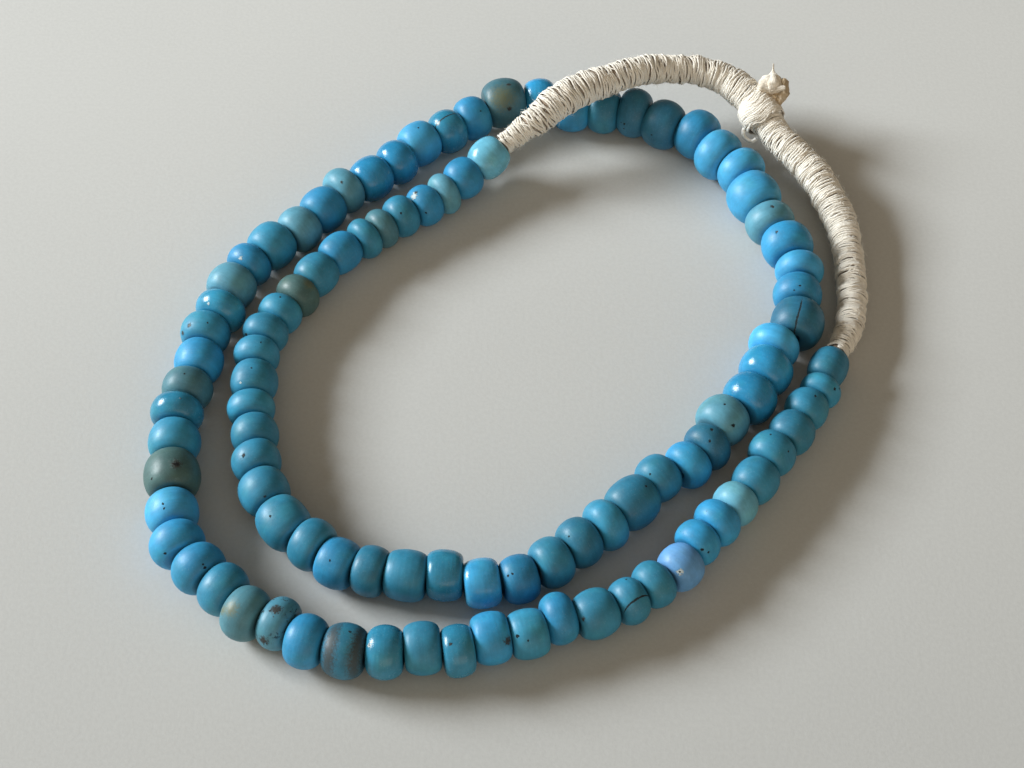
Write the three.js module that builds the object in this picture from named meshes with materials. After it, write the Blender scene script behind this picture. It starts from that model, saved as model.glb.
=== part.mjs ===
// A beaded necklace: one string of old glass beads, graduated in size, laid doubled in two turns on a
// level surface. Its neck stretch is a thread core wound with cotton yarn, in two tapered legs that meet
// at a knot.
// Millimetres, +Z up. The origin is on the surface, under the middle of the whole necklace.

import * as THREE from "three";

// Driving dimensions. BEAD_DIAMETER is the largest bead's.
const LAID_WIDTH = 140.7;
const LAID_DEPTH = 147.9;
const BEAD_DIAMETER = 11;
const WRAP_DIAMETER = 7.6;
const KNOT_DIAMETER = 8.4;
const KNOT_LENGTH = 8;
const TUFT_DIAMETER = 5.8;
const TUFT_LENGTH = 5.6;
const THREAD_DIAMETER = 0.7;
const PIECE_GAP = 0.3;
const BEAD_FACE_GAP = 0.6; // from a bead's face to the end of a wound leg, which leans a little

// The string's course on the surface, from the wound leg above bead 1 to the other leg at the last
// bead. x and y are hundredths of LAID_WIDTH and LAID_DEPTH, and lift is how far a bead hangs above the
// surface there, as a share of BEAD_DIAMETER.
const STRING_ROUTE = [
  { x: -2.5, y: 34.8, lift: 0.34 },
  { x: -6, y: 31.9, lift: 0.15 },
  { x: -10, y: 28.9, lift: 0.03 },
  { x: -13.9, y: 26, lift: 0 },
  { x: -25.6, y: 16.2, lift: 0 },
  { x: -33.4, y: 6.1, lift: 0 },
  { x: -36.2, y: -5.7, lift: 0 },
  { x: -34.8, y: -18.9, lift: 0 },
  { x: -27.4, y: -30.8, lift: 0 },
  { x: -14.6, y: -36.2, lift: 0 },
  { x: -0.7, y: -35.5, lift: 0 },
  { x: 11.4, y: -28.4, lift: 0 },
  { x: 21.7, y: -19.3, lift: 0 },
  { x: 30.9, y: -8.8, lift: 0 },
  { x: 38, y: 3.7, lift: 0 },
  { x: 38.7, y: 17.6, lift: 0 },
  { x: 33, y: 30.8, lift: 0 },
  { x: 22.7, y: 40.9, lift: 0 },
  { x: 13.5, y: 44.3, lift: 0 },
  { x: 3.6, y: 45.3, lift: 0 },
  { x: -6, y: 42.9, lift: 0 },
  { x: -18.5, y: 34.5, lift: 0 },
  { x: -32, y: 21.3, lift: 0 },
  { x: -42.2, y: 6.2, lift: 0 },
  { x: -45.1, y: -6.8, lift: 0 },
  { x: -45.8, y: -21, lift: 0 },
  { x: -41.2, y: -34.5, lift: 0 },
  { x: -30.6, y: -42.9, lift: 0 },
  { x: -17.1, y: -46.5, lift: 0 },
  { x: 1.1, y: -43.9, lift: 0 },
  { x: 13.1, y: -39.2, lift: 0 },
  { x: 25.6, y: -28.1, lift: 0 },
  { x: 36.5, y: -14.2, lift: 0 },
  { x: 43.9, y: -1, lift: 0 },
];

// The wound neck stretch between the two ends of the string, with the same x and y. under is the height
// of its underside as a share of BEAD_DIAMETER, because it crosses the beads, and girth is its thickness
// as a share of WRAP_DIAMETER.
const WRAP_ROUTE = [
  { x: 0.2, y: 36.4, under: 0.63, girth: 0.66 },
  { x: 2.8, y: 37.7, under: 0.77, girth: 0.83 },
  { x: 5.5, y: 39.6, under: 0.86, girth: 0.94 },
  { x: 8.7, y: 41.8, under: 0.92, girth: 0.95 },
  { x: 12.3, y: 43.5, under: 0.95, girth: 0.89 },
  { x: 16.1, y: 45.2, under: 0.96, girth: 0.84 },
  { x: 20, y: 46.7, under: 0.9, girth: 0.82 },
  { x: 23.8, y: 47.5, under: 0.81, girth: 0.79 },
  { x: 27.6, y: 47.7, under: 0.73, girth: 0.82 },
  { x: 31, y: 46.8, under: 0.64, girth: 0.89 },
  { x: 33.6, y: 45, under: 0.56, girth: 0.95 },
  { x: 35.9, y: 42.5, under: 0.48, girth: 0.95 },
  { x: 37.5, y: 39.8, under: 0.41, girth: 0.87 },
  { x: 39.1, y: 36.8, under: 0.34, girth: 0.83 },
  { x: 41.3, y: 34.2, under: 0.27, girth: 0.88 },
  { x: 43.5, y: 31.4, under: 0.21, girth: 0.93 },
  { x: 45.2, y: 28, under: 0.14, girth: 0.91 },
  { x: 46.8, y: 23.8, under: 0.07, girth: 0.9 },
  { x: 47.5, y: 19.5, under: 0.02, girth: 0.83 },
  { x: 47.7, y: 15.8, under: 0.01, girth: 0.8 },
  { x: 47.6, y: 11.6, under: 0.01, girth: 0.79 },
  { x: 47.1, y: 7.2, under: 0.01, girth: 0.76 },
  { x: 46.1, y: 3.1, under: 0.06, girth: 0.72 },
];
const WRAP_END_GIRTH = 0.57;
const KNOT_PLACE = 0.492; // the knot's middle, as a share of the wound stretch

// Each bead in stringing order: a letter for its length, a digit for its girth, and a letter for how far
// it sits out of line, from L, well to the left of the way the string runs, to R, well to the right.
const BEAD_CHART = [
  { beads: "1 to 10", lengths: "lmtssttlls", girths: "2333323234", asides: "oollooorol" },
  { beads: "11 to 20", lengths: "ssslsmmlxs", girths: "3444445566", asides: "orroolorro" },
  { beads: "21 to 30", lengths: "mslmmmmmsx", girths: "5555445566", asides: "rolLrRrool" },
  { beads: "31 to 40", lengths: "msslllsxms", girths: "4557887866", asides: "LrrlroLRrR" },
  { beads: "41 to 50", lengths: "lmxmmllmml", girths: "8798988866", asides: "oLLroRlolL" },
  { beads: "51 to 60", lengths: "mxmmlmlslm", girths: "5855555655", asides: "RRoloLLoll" },
  { beads: "61 to 70", lengths: "lslsmlmslx", girths: "6567656768", asides: "rRrloloroo" },
  { beads: "71 to 80", lengths: "lmmmmsmlmm", girths: "6776766665", asides: "rRolrlrrol" },
  { beads: "81 to 90", lengths: "smmslssmss", girths: "5545433334", asides: "rloLorrRoo" },
  { beads: "91 to 97", lengths: "slmmmtl", girths: "3343210", asides: "oolooro" },
];
const LENGTH_KINDS = { t: 0.65, s: 0.82, m: 0.95, l: 1.08, x: 1.25 };
const SMALLEST_GIRTH = 0.7; // digit 0, as a share of BEAD_DIAMETER
const GIRTH_STEP = 1 / 30; // one digit more
const ASIDE_KINDS = { L: -0.12, l: -0.06, o: 0, r: 0.06, R: 0.12 }; // shares of BEAD_DIAMETER
const INNER_TURN_COUNT = 49;

// A bead's outline on both sides of its middle: along is a share of its length, radius of its radius.
const BEAD_PROFILE = [
  { along: -0.38, radius: 0.87 },
  { along: -0.17, radius: 1 },
  { along: 0.17, radius: 1 },
  { along: 0.38, radius: 0.87 },
];
const SEAM_RADIUS = 0.56;

// The knot's collar from the left leg to the right one, and the frayed tuft from the knot to its tip.
const KNOT_PROFILE = [
  { along: -0.5, radius: 0.82 },
  { along: -0.36, radius: 0.96 },
  { along: -0.12, radius: 1 },
  { along: 0.16, radius: 1 },
  { along: 0.36, radius: 0.95 },
  { along: 0.5, radius: 0.84 },
];
const TUFT_PROFILE = [
  { along: 0, radius: 0.5 },
  { along: 0.1, radius: 0.82 },
  { along: 0.26, radius: 1 },
  { along: 0.42, radius: 0.86 },
  { along: 0.55, radius: 0.5 },
  { along: 0.66, radius: 0.2 },
  { along: 1, radius: 0.06 },
];
const TUFT_ROOT = new THREE.Vector3(0.65, 0.44, 0.62).normalize(); // from the knot's middle to its foot
const TUFT_DIRECTION = new THREE.Vector3(0.25, 0.7, 0.66).normalize();
const TUFT_CLEARANCE = 1.05; // from the knot's surface to the tuft's foot, because the tuft leans over it

// The loose thread end, as places beside the middle of the knot, in knot diameters.
const THREAD_END = [
  { x: -0.45, y: -0.32, z: -0.25 },
  { x: -0.47, y: -0.36, z: -0.28 },
  { x: -0.46, y: -0.46, z: -0.36 },
  { x: -0.36, y: -0.54, z: -0.42 },
  { x: -0.25, y: -0.57, z: -0.44 },
  { x: -0.15, y: -0.52, z: -0.41 },
];

const BEAD_SIDES = 10;
const WRAP_SIDES = 10;
const KNOT_SIDES = 12;
const THREAD_SIDES = 6;
const WRAP_STEP = 2.6;
const UP = new THREE.Vector3(0, 0, 1);

// Materials, with the colours of the real thing
const glass = new THREE.MeshStandardMaterial({ color: 0x3f86a8, roughness: 0.35, metalness: 0 });
const darkerGlass = new THREE.MeshStandardMaterial({ color: 0x377a9c, roughness: 0.35, metalness: 0 });
const yarn = new THREE.MeshStandardMaterial({ color: 0xd9ccb6, roughness: 0.95, metalness: 0 });
const frayedYarn = new THREE.MeshStandardMaterial({ color: 0xdccdb0, roughness: 1, metalness: 0 });
const thread = new THREE.MeshStandardMaterial({ color: 0xe9e4d8, roughness: 0.9, metalness: 0 });

function laid(x, y, height) {
  return new THREE.Vector3((x * LAID_WIDTH) / 100, (y * LAID_DEPTH) / 100, height);
}

function courseThrough(points) {
  const curve = new THREE.CatmullRomCurve3(points);
  curve.arcLengthDivisions = 40 * points.length;
  return { curve, length: curve.getLength() };
}

// A section across the course: its centre, the course's direction, the level direction to the right of
// it and the one that points up. Nothing reaches below the surface.
function sectionAt(course, at) {
  const share = THREE.MathUtils.clamp(at / course.length, 0, 1);
  const centre = course.curve.getPointAt(share);
  const along = course.curve.getTangentAt(share);
  if (centre.z < 0) {
    centre.setZ(0);
    along.setZ(0).normalize();
  }
  const side = new THREE.Vector3().crossVectors(along, UP).normalize();
  const up = new THREE.Vector3().crossVectors(side, along);
  return { at, centre, along, side, up };
}

function movedAlong(section, distance) {
  const centre = section.centre.clone().addScaledVector(section.along, distance);
  return { ...section, at: section.at + distance, centre };
}

// A lathe turned straight and then laid through sections that each have a radius. The flat sides touch
// the radius, and one of them faces down.
function lathedThrough(sections, sides) {
  const corner = 1 / Math.cos(Math.PI / sides);
  const profile = sections.map(({ at, radius }) => new THREE.Vector2(radius * corner, at));
  const geometry = new THREE.LatheGeometry(profile, sides, Math.PI / sides);
  const position = geometry.attributes.position;
  for (let index = 0; index < position.count; index += 1) {
    const { centre, side, up } = sections[index % sections.length];
    const place = centre.clone();
    place.addScaledVector(side, position.getX(index));
    place.addScaledVector(up, position.getZ(index));
    position.setXYZ(index, place.x, place.y, place.z);
  }
  geometry.computeVertexNormals();
  return geometry;
}

// Closes a row of sections with a flat face at each end.
function withFlatEnds(sections) {
  const first = sections[0];
  const last = sections[sections.length - 1];
  return [{ ...first, radius: 0 }, ...sections, { ...last, radius: 0 }];
}

// The beads fill the string's course. Each has its length, its radius and the section at its middle.
function chartedBeads(course) {
  const lengths = BEAD_CHART.flatMap((row) => [...row.lengths].map((letter) => LENGTH_KINDS[letter]));
  const girths = BEAD_CHART.flatMap((row) => [...row.girths].map(Number));
  const asides = BEAD_CHART.flatMap((row) => [...row.asides].map((letter) => ASIDE_KINDS[letter]));
  const fill = course.length / lengths.reduce((sum, length) => sum + length, 0);
  let end = 0;
  return lengths.map((share, index) => {
    const length = share * fill;
    const radius = (BEAD_DIAMETER * (SMALLEST_GIRTH + girths[index] * GIRTH_STEP)) / 2;
    const section = sectionAt(course, end + length / 2);
    section.centre.addScaledVector(section.side, asides[index] * BEAD_DIAMETER);
    section.centre.addScaledVector(UP, radius);
    end += length;
    return { length, radius, end, section };
  });
}

function beadSections(bead) {
  return BEAD_PROFILE.map(({ along, radius }) => ({
    ...movedAlong(bead.section, along * bead.length),
    radius: radius * bead.radius,
  }));
}

// A bead's end face. way is -1 for the one where the string comes in and 1 for the one where it goes on.
function endFace(bead, way) {
  return { ...movedAlong(bead.section, (way * bead.length) / 2), radius: SEAM_RADIUS * bead.radius };
}

// The narrow place where two beads meet, halfway between their faces
function seamSection(course, bead, neighbour) {
  const face = endFace(bead, 1);
  const otherFace = endFace(neighbour, -1);
  const centre = face.centre.clone().lerp(otherFace.centre, 0.5);
  return { ...sectionAt(course, bead.end), centre, radius: (face.radius + otherFace.radius) / 2 };
}

// A turn of the string: the beads from one place in the row to another, fused into one body. Where the
// string goes on into the other turn, half the gap lies on each side of the seam.
function beadString(course, beads, from, to) {
  const seamBefore = (index) => seamSection(course, beads[index - 1], beads[index]);
  const sections = [from > 0 ? movedAlong(seamBefore(from), PIECE_GAP / 2) : endFace(beads[0], -1)];
  for (let index = from; index < to; index += 1) {
    if (index > from) {
      sections.push(seamBefore(index));
    }
    sections.push(...beadSections(beads[index]));
  }
  sections.push(to < beads.length ? movedAlong(seamBefore(to), -PIECE_GAP / 2) : endFace(beads[to - 1], 1));
  return lathedThrough(withFlatEnds(sections), BEAD_SIDES);
}

const stringCourse = courseThrough(STRING_ROUTE.map(({ x, y, lift }) => laid(x, y, lift * BEAD_DIAMETER)));
const beads = chartedBeads(stringCourse);

// The wound stretch runs from the middle of bead 1's outer face to the middle of the last bead's.
const wrapMiddles = WRAP_ROUTE.map(({ x, y, under, girth }) => {
  return laid(x, y, under * BEAD_DIAMETER + (girth * WRAP_DIAMETER) / 2);
});
const wrapStart = endFace(beads[0], -1).centre;
const wrapEnd = endFace(beads[beads.length - 1], 1).centre;
const wrapCourse = courseThrough([wrapStart, ...wrapMiddles, wrapEnd]);
const wrapGirths = [WRAP_END_GIRTH, ...WRAP_ROUTE.map(({ girth }) => girth), WRAP_END_GIRTH];

function wrapRadius(at) {
  const row = wrapCourse.curve.getUtoTmapping(at / wrapCourse.length) * (wrapGirths.length - 1);
  const before = Math.min(Math.floor(row), wrapGirths.length - 2);
  const girth = THREE.MathUtils.lerp(wrapGirths[before], wrapGirths[before + 1], row - before);
  return (girth * WRAP_DIAMETER) / 2;
}

function woundLeg(from, to) {
  const steps = Math.ceil((to - from) / WRAP_STEP);
  const sections = [];
  for (let step = 0; step <= steps; step += 1) {
    const at = from + ((to - from) * step) / steps;
    sections.push({ ...sectionAt(wrapCourse, at), radius: wrapRadius(at) });
  }
  return lathedThrough(withFlatEnds(sections), WRAP_SIDES);
}

const knotMiddle = KNOT_PLACE * wrapCourse.length;
const knotStart = knotMiddle - KNOT_LENGTH / 2;
const knotEnd = knotMiddle + KNOT_LENGTH / 2;

function knotCollar() {
  const sections = KNOT_PROFILE.map(({ along, radius }) => ({
    ...sectionAt(wrapCourse, knotMiddle + along * KNOT_LENGTH),
    radius: (radius * KNOT_DIAMETER) / 2,
  }));
  return lathedThrough(withFlatEnds(sections), KNOT_SIDES);
}

function frayedTuft() {
  const outline = TUFT_PROFILE.map(({ along, radius }) => {
    return new THREE.Vector2((radius * TUFT_DIAMETER) / 2, along * TUFT_LENGTH);
  });
  const foot = new THREE.Vector2(0, 0);
  const tip = new THREE.Vector2(0, TUFT_LENGTH);
  return new THREE.LatheGeometry([foot, ...outline, tip], WRAP_SIDES);
}

function looseThread(knotCentre) {
  const places = THREAD_END.map(({ x, y, z }) => {
    return new THREE.Vector3(x, y, z).multiplyScalar(KNOT_DIAMETER).add(knotCentre);
  });
  const section = new THREE.Shape();
  section.absarc(0, 0, THREAD_DIAMETER / 2, 0, 2 * Math.PI);
  return new THREE.ExtrudeGeometry(section, {
    extrudePath: new THREE.CatmullRomCurve3(places),
    steps: 4 * THREAD_END.length,
    curveSegments: THREAD_SIDES / 2,
    bevelEnabled: false,
  });
}

const necklace = new THREE.Group();

function addPiece(name, geometry, material) {
  const piece = new THREE.Mesh(geometry, material);
  piece.name = name;
  necklace.add(piece);
  return piece;
}

addPiece("bead_string_inner", beadString(stringCourse, beads, 0, INNER_TURN_COUNT), glass);
addPiece("bead_string_outer", beadString(stringCourse, beads, INNER_TURN_COUNT, beads.length), darkerGlass);
addPiece("wrap_left", woundLeg(BEAD_FACE_GAP, knotStart - PIECE_GAP), yarn);
addPiece("wrap_right", woundLeg(knotEnd + PIECE_GAP, wrapCourse.length - BEAD_FACE_GAP), yarn);
addPiece("wrap_knot", knotCollar(), yarn);

const knotCentre = sectionAt(wrapCourse, knotMiddle).centre;
const knotCorner = KNOT_DIAMETER / 2 / Math.cos(Math.PI / KNOT_SIDES);
const tuft = addPiece("knot_tuft", frayedTuft(), frayedYarn);
tuft.quaternion.setFromUnitVectors(new THREE.Vector3(0, 1, 0), TUFT_DIRECTION);
tuft.position.copy(knotCentre).addScaledVector(TUFT_ROOT, knotCorner + TUFT_CLEARANCE);

addPiece("loose_thread_end", looseThread(knotCentre), thread);

export default necklace;
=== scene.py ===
"""The looks of an old beaded necklace: each bead's own glass and wear, the windings of cotton yarn round the
neck stretch, the knot with its frayed tuft, and the loose thread end, laid on a pale surface."""

import math
import random
from bisect import bisect_right
from collections.abc import Callable
from dataclasses import dataclass

import bmesh
import bpy
from bpy.props import FloatProperty, FloatVectorProperty, IntProperty, PointerProperty
from mathutils import Matrix, Vector, noise


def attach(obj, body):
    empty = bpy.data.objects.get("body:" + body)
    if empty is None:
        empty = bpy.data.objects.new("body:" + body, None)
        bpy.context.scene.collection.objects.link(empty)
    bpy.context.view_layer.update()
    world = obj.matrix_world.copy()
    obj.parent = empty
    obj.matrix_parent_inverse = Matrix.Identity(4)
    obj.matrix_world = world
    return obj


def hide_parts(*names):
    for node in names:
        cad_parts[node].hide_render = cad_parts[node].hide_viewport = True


bl_info = {
    "name": "Beaded Necklace",
    "version": (1, 0, 0),
    "blender": (4, 5, 0),
    "location": "View3D > Sidebar > Necklace",
    "description": "Strings the glass beads and winds the yarn of an old beaded necklace",
    "category": "Add Mesh",
}

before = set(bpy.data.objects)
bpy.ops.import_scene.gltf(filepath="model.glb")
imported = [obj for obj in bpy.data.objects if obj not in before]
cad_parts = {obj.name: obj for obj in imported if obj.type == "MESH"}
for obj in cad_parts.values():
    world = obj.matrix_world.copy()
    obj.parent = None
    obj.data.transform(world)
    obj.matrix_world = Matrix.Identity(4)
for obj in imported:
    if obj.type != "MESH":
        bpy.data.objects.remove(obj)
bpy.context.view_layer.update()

MM = 0.001
UP = Vector((0, 0, 1))

# The string's course on the surface, from the wound leg above bead 1 to the other leg at the last bead. x and
# y are hundredths of the laid width and depth, and lift is how far a bead hangs above the surface there, as a
# share of the largest bead.
STRING_ROUTE = (
    {"x": -2.5, "y": 34.8, "lift": 0.34},
    {"x": -6, "y": 31.9, "lift": 0.15},
    {"x": -10, "y": 28.9, "lift": 0.03},
    {"x": -13.9, "y": 26, "lift": 0},
    {"x": -25.6, "y": 16.2, "lift": 0},
    {"x": -33.4, "y": 6.1, "lift": 0},
    {"x": -36.2, "y": -5.7, "lift": 0},
    {"x": -34.8, "y": -18.9, "lift": 0},
    {"x": -27.4, "y": -30.8, "lift": 0},
    {"x": -14.6, "y": -36.2, "lift": 0},
    {"x": -0.7, "y": -35.5, "lift": 0},
    {"x": 11.4, "y": -28.4, "lift": 0},
    {"x": 21.7, "y": -19.3, "lift": 0},
    {"x": 30.9, "y": -8.8, "lift": 0},
    {"x": 38, "y": 3.7, "lift": 0},
    {"x": 38.7, "y": 17.6, "lift": 0},
    {"x": 33, "y": 30.8, "lift": 0},
    {"x": 22.7, "y": 40.9, "lift": 0},
    {"x": 13.5, "y": 44.3, "lift": 0},
    {"x": 3.6, "y": 45.3, "lift": 0},
    {"x": -6, "y": 42.9, "lift": 0},
    {"x": -18.5, "y": 34.5, "lift": 0},
    {"x": -32, "y": 21.3, "lift": 0},
    {"x": -42.2, "y": 6.2, "lift": 0},
    {"x": -45.1, "y": -6.8, "lift": 0},
    {"x": -45.8, "y": -21, "lift": 0},
    {"x": -41.2, "y": -34.5, "lift": 0},
    {"x": -30.6, "y": -42.9, "lift": 0},
    {"x": -17.1, "y": -46.5, "lift": 0},
    {"x": 1.1, "y": -43.9, "lift": 0},
    {"x": 13.1, "y": -39.2, "lift": 0},
    {"x": 25.6, "y": -28.1, "lift": 0},
    {"x": 36.5, "y": -14.2, "lift": 0},
    {"x": 43.9, "y": -1, "lift": 0},
)

# The wound neck stretch between the two ends of the string. under is the height of its underside as a share of
# the largest bead, and girth is its thickness as a share of the wrap's.
WRAP_ROUTE = (
    {"x": 0.2, "y": 36.4, "under": 0.63, "girth": 0.66},
    {"x": 2.8, "y": 37.7, "under": 0.77, "girth": 0.83},
    {"x": 5.5, "y": 39.6, "under": 0.86, "girth": 0.94},
    {"x": 8.7, "y": 41.8, "under": 0.92, "girth": 0.95},
    {"x": 12.3, "y": 43.5, "under": 0.95, "girth": 0.89},
    {"x": 16.1, "y": 45.2, "under": 0.96, "girth": 0.84},
    {"x": 20, "y": 46.7, "under": 0.9, "girth": 0.82},
    {"x": 23.8, "y": 47.5, "under": 0.81, "girth": 0.79},
    {"x": 27.6, "y": 47.7, "under": 0.73, "girth": 0.82},
    {"x": 31, "y": 46.8, "under": 0.64, "girth": 0.89},
    {"x": 33.6, "y": 45, "under": 0.56, "girth": 0.95},
    {"x": 35.9, "y": 42.5, "under": 0.48, "girth": 0.95},
    {"x": 37.5, "y": 39.8, "under": 0.41, "girth": 0.87},
    {"x": 39.1, "y": 36.8, "under": 0.34, "girth": 0.83},
    {"x": 41.3, "y": 34.2, "under": 0.27, "girth": 0.88},
    {"x": 43.5, "y": 31.4, "under": 0.21, "girth": 0.93},
    {"x": 45.2, "y": 28, "under": 0.14, "girth": 0.91},
    {"x": 46.8, "y": 23.8, "under": 0.07, "girth": 0.9},
    {"x": 47.5, "y": 19.5, "under": 0.02, "girth": 0.83},
    {"x": 47.7, "y": 15.8, "under": 0.01, "girth": 0.8},
    {"x": 47.6, "y": 11.6, "under": 0.01, "girth": 0.79},
    {"x": 47.1, "y": 7.2, "under": 0.01, "girth": 0.76},
    {"x": 46.1, "y": 3.1, "under": 0.06, "girth": 0.72},
)
WRAP_END_GIRTH = 0.57

# Each bead in stringing order. lengths and asides are letters and girths are digits, as in the kinds below.
# glasses are letters of GLASSES, shades are d, n or l for a dark, middling or light bead of its glass, and forms
# are o for a round bead and b for a barrel, with a capital for one that kept its gloss.
BEAD_CHART = (
    {"beads": "1 to 10", "lengths": "lmtssttlls", "girths": "2333323234", "asides": "oollooorol",
     "glasses": "ababtgtbto", "shades": "lndnnnnnnn", "forms": "Oooooooooo"},
    {"beads": "11 to 20", "lengths": "ssslsmmlxs", "girths": "3444445566", "asides": "orroolorro",
     "glasses": "tttttttttt", "shades": "lnlnlnnnnn", "forms": "ooooooooob"},
    {"beads": "21 to 30", "lengths": "mslmmmmmsx", "girths": "5555445566", "asides": "rolLrRrool",
     "glasses": "btttsbtttt", "shades": "ndnnndndld", "forms": "bbbBBooooo"},
    {"beads": "31 to 40", "lengths": "msslllsxms", "girths": "4557887866", "asides": "LrrlroLRrR",
     "glasses": "tbdabbsdbs", "shades": "nlndnllnnn", "forms": "ooooOOoooo"},
    {"beads": "41 to 50", "lengths": "lmxmmllmml", "girths": "8798988866", "asides": "oLLroRlolL",
     "glasses": "basssbddtb", "shades": "ldnnnnnndn", "forms": "oooooooooo"},
    {"beads": "51 to 60", "lengths": "mxmmlmlslm", "girths": "5855555655", "asides": "RRoloLLoll",
     "glasses": "bgbtsbbaba", "shades": "ldnnnnndnd", "forms": "OooOoOOooo"},
    {"beads": "61 to 70", "lengths": "lslsmlmslx", "girths": "6567656768", "asides": "rRrloloroo",
     "glasses": "tbattbgtto", "shades": "lndlllnnln", "forms": "oooOoooOoo"},
    {"beads": "71 to 80", "lengths": "lmmmmsmlmm", "girths": "6776766665", "asides": "rRolrlrrol",
     "glasses": "sbbtgmbttt", "shades": "nlnnlnndnn", "forms": "ooooooooOb"},
    {"beads": "81 to 90", "lengths": "smmslssmss", "girths": "5545433334", "asides": "rloLorrRoo",
     "glasses": "tbtbtttpbb", "shades": "nllnnnnnll", "forms": "Bbbooooooo"},
    {"beads": "91 to 97", "lengths": "slmmmtl", "girths": "3343210", "asides": "oolooro",
     "glasses": "atttttt", "shades": "nnndnld", "forms": "ooooooo"},
)
LENGTH_KINDS = {"t": 0.65, "s": 0.82, "m": 0.95, "l": 1.08, "x": 1.25}
ASIDE_KINDS = {"L": -0.12, "l": -0.06, "o": 0, "r": 0.06, "R": 0.12}
SMALLEST_GIRTH = 0.7
GIRTH_STEP = 1 / 30
SHADE_KINDS = {"d": 0.8, "n": 1, "l": 1.2}
INNER_TURN_COUNT = 49
ROUNDNESS = {"o": 0.9, "b": 0.6}
BEAD_LIP = 0.5  # the flat end of a bead, as a share of its radius

# The letters of the glasses in BEAD_CHART, and the settings that hold their colours.
GLASSES = {
    "s": "sky_blue",
    "b": "plain_blue",
    "t": "teal_blue",
    "d": "petrol_blue",
    "a": "pale_aqua",
    "g": "grey_green",
    "o": "olive",
    "p": "periwinkle",
    "m": "speckled_blue",
}

# What a mark on a bead looks like: its tint, how far it is drawn out across, along and through the bead, and how
# softly it fades out.
MARK_KINDS = {
    "pit": {"tint": (0.006, 0.007, 0.008), "drawn": (1, 1, 1), "softness": 0.12},
    "chip": {"tint": (0.5, 0.58, 0.6), "drawn": (1, 1, 1), "softness": 0.2},
    "rust": {"tint": (0.03, 0.026, 0.022), "drawn": (1, 1, 1), "softness": 0.5},
    "tan": {"tint": (0.13, 0.15, 0.09), "drawn": (1, 1, 1), "softness": 0.9},
    "stripe": {"tint": (0.04, 0.055, 0.06), "drawn": (0.16, 1, 0.16), "softness": 0.7},
    "crack": {"tint": (0.012, 0.02, 0.025), "drawn": (1, 0.04, 0.04), "softness": 0.2},
}
MARK_SLOTS = 3

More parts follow.
